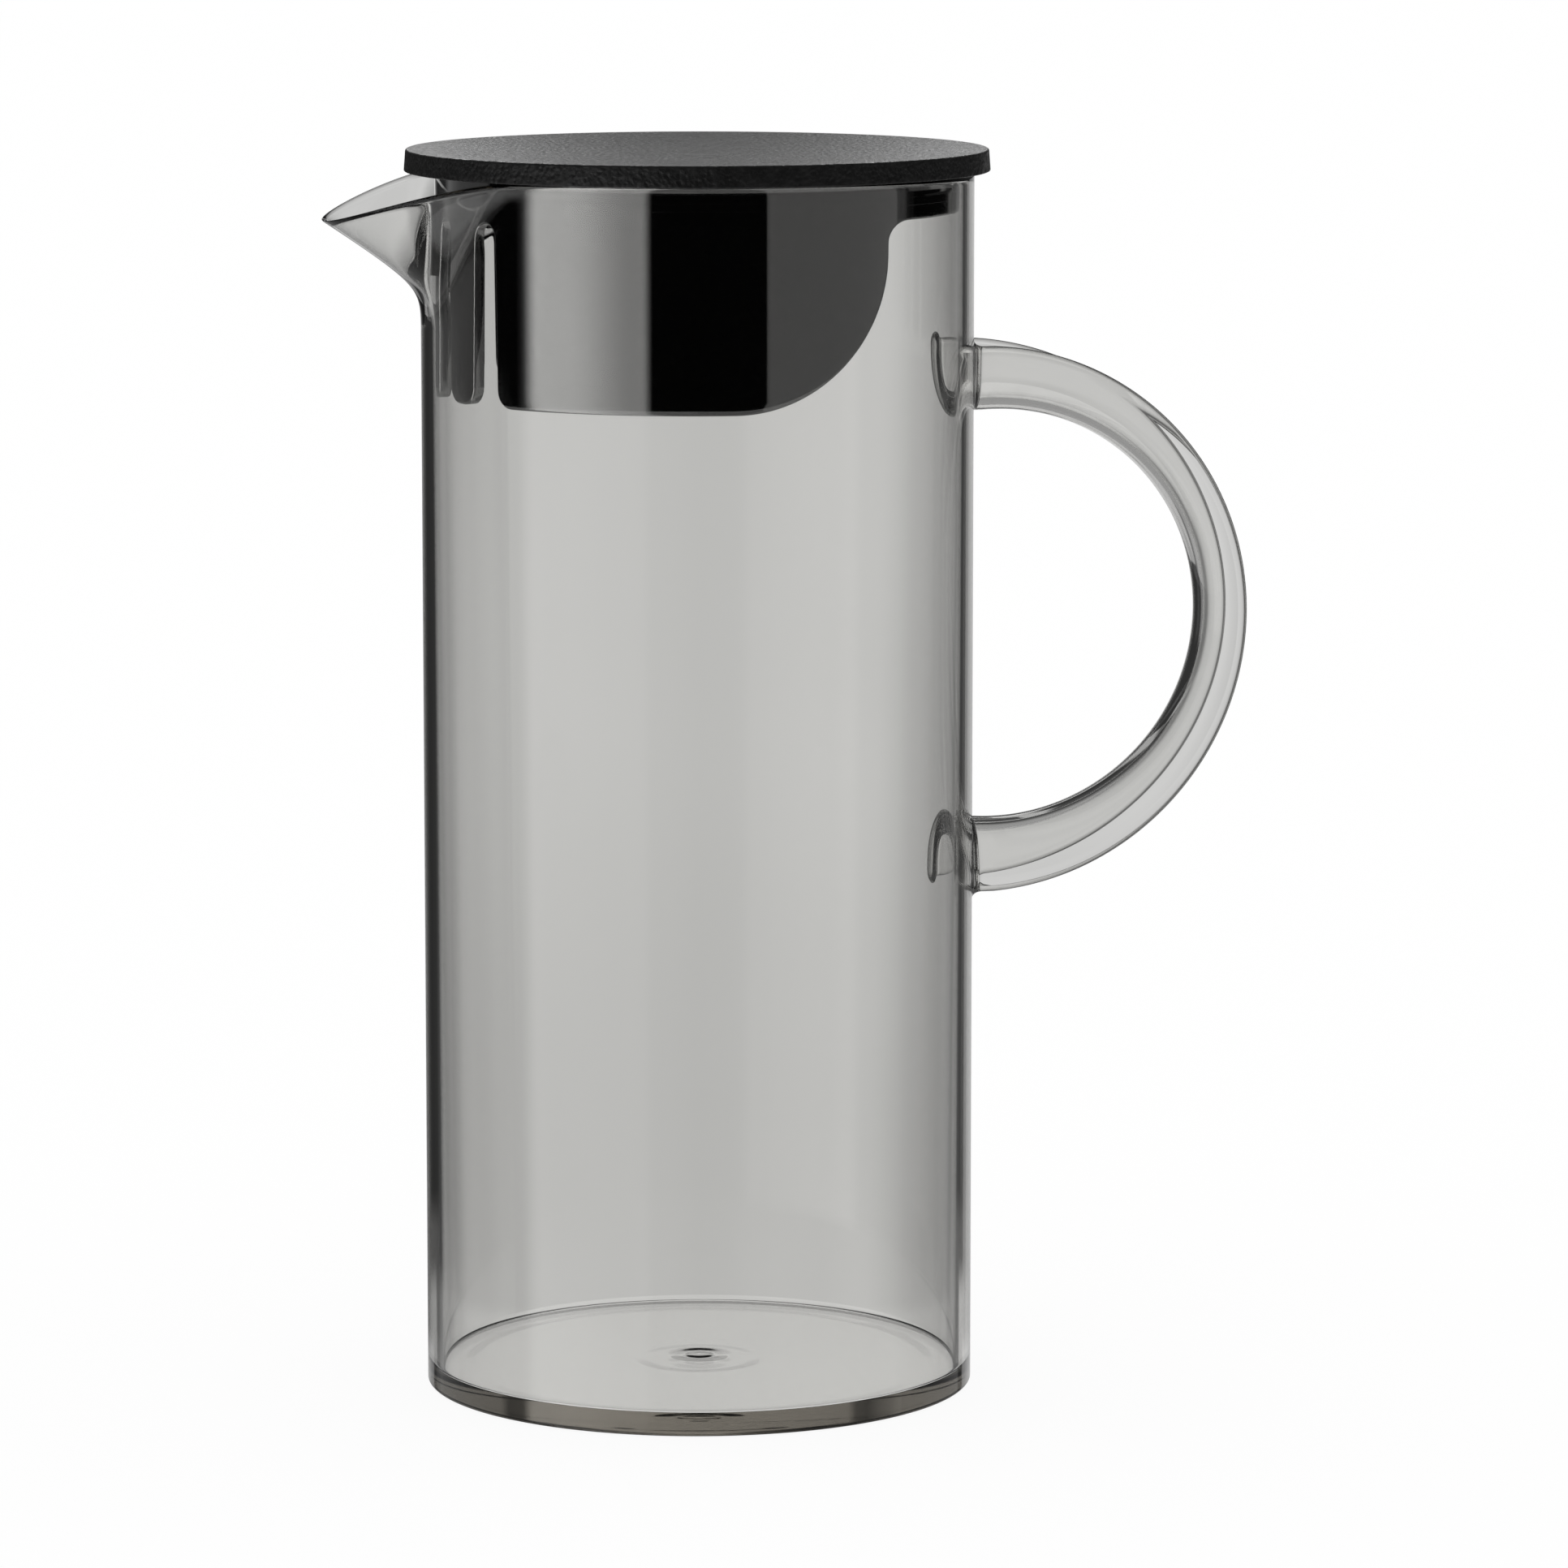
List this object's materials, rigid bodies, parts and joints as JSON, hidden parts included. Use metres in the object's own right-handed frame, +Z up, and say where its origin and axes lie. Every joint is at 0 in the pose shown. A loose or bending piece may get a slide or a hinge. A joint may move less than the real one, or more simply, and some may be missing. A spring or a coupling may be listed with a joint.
{
  "type": "lidded water jug",
  "caption": "Clear smoke-grey cylindrical water jug with a beak spout, a looped channel handle and a black lift-out lid with a slotted strainer skirt.",
  "frame": {"origin": "centre of the underside, on the jug's axis, at the surface that the jug stands on", "axes": "+Z up along the jug's axis, +X towards the handle, -X towards the spout"},
  "size_m": [0.1704, 0.1058, 0.226],
  "materials": {
    "smoke_clear_body": "clear smoke-grey, polished",
    "smoke_clear_handle": "clear smoke-grey, polished",
    "grained_black": "fine moulded grain",
    "gloss_black": "polished black",
    "seal_black": "soft black"
  },
  "bodies": {
    "jug": {"jug_body": "smoke_clear_body", "handle": "smoke_clear_handle"},
    "lid_grip": {"lid_seal": "seal_black"},
    "lid": {"lid_cap": "grained_black", "strainer_skirt": "gloss_black"}
  },
  "joints": [
    {"name": "lid_lift", "type": "slide", "parent": "jug", "child": "lid_grip", "axis": [0, 0, 1], "range_m": [0, 0.05]},
    {"name": "lid_turn", "type": "hinge", "parent": "lid_grip", "child": "lid", "pos_m": [0, 0, 0.2218], "axis": [0, 0, 1], "continuous": true}
  ]
}
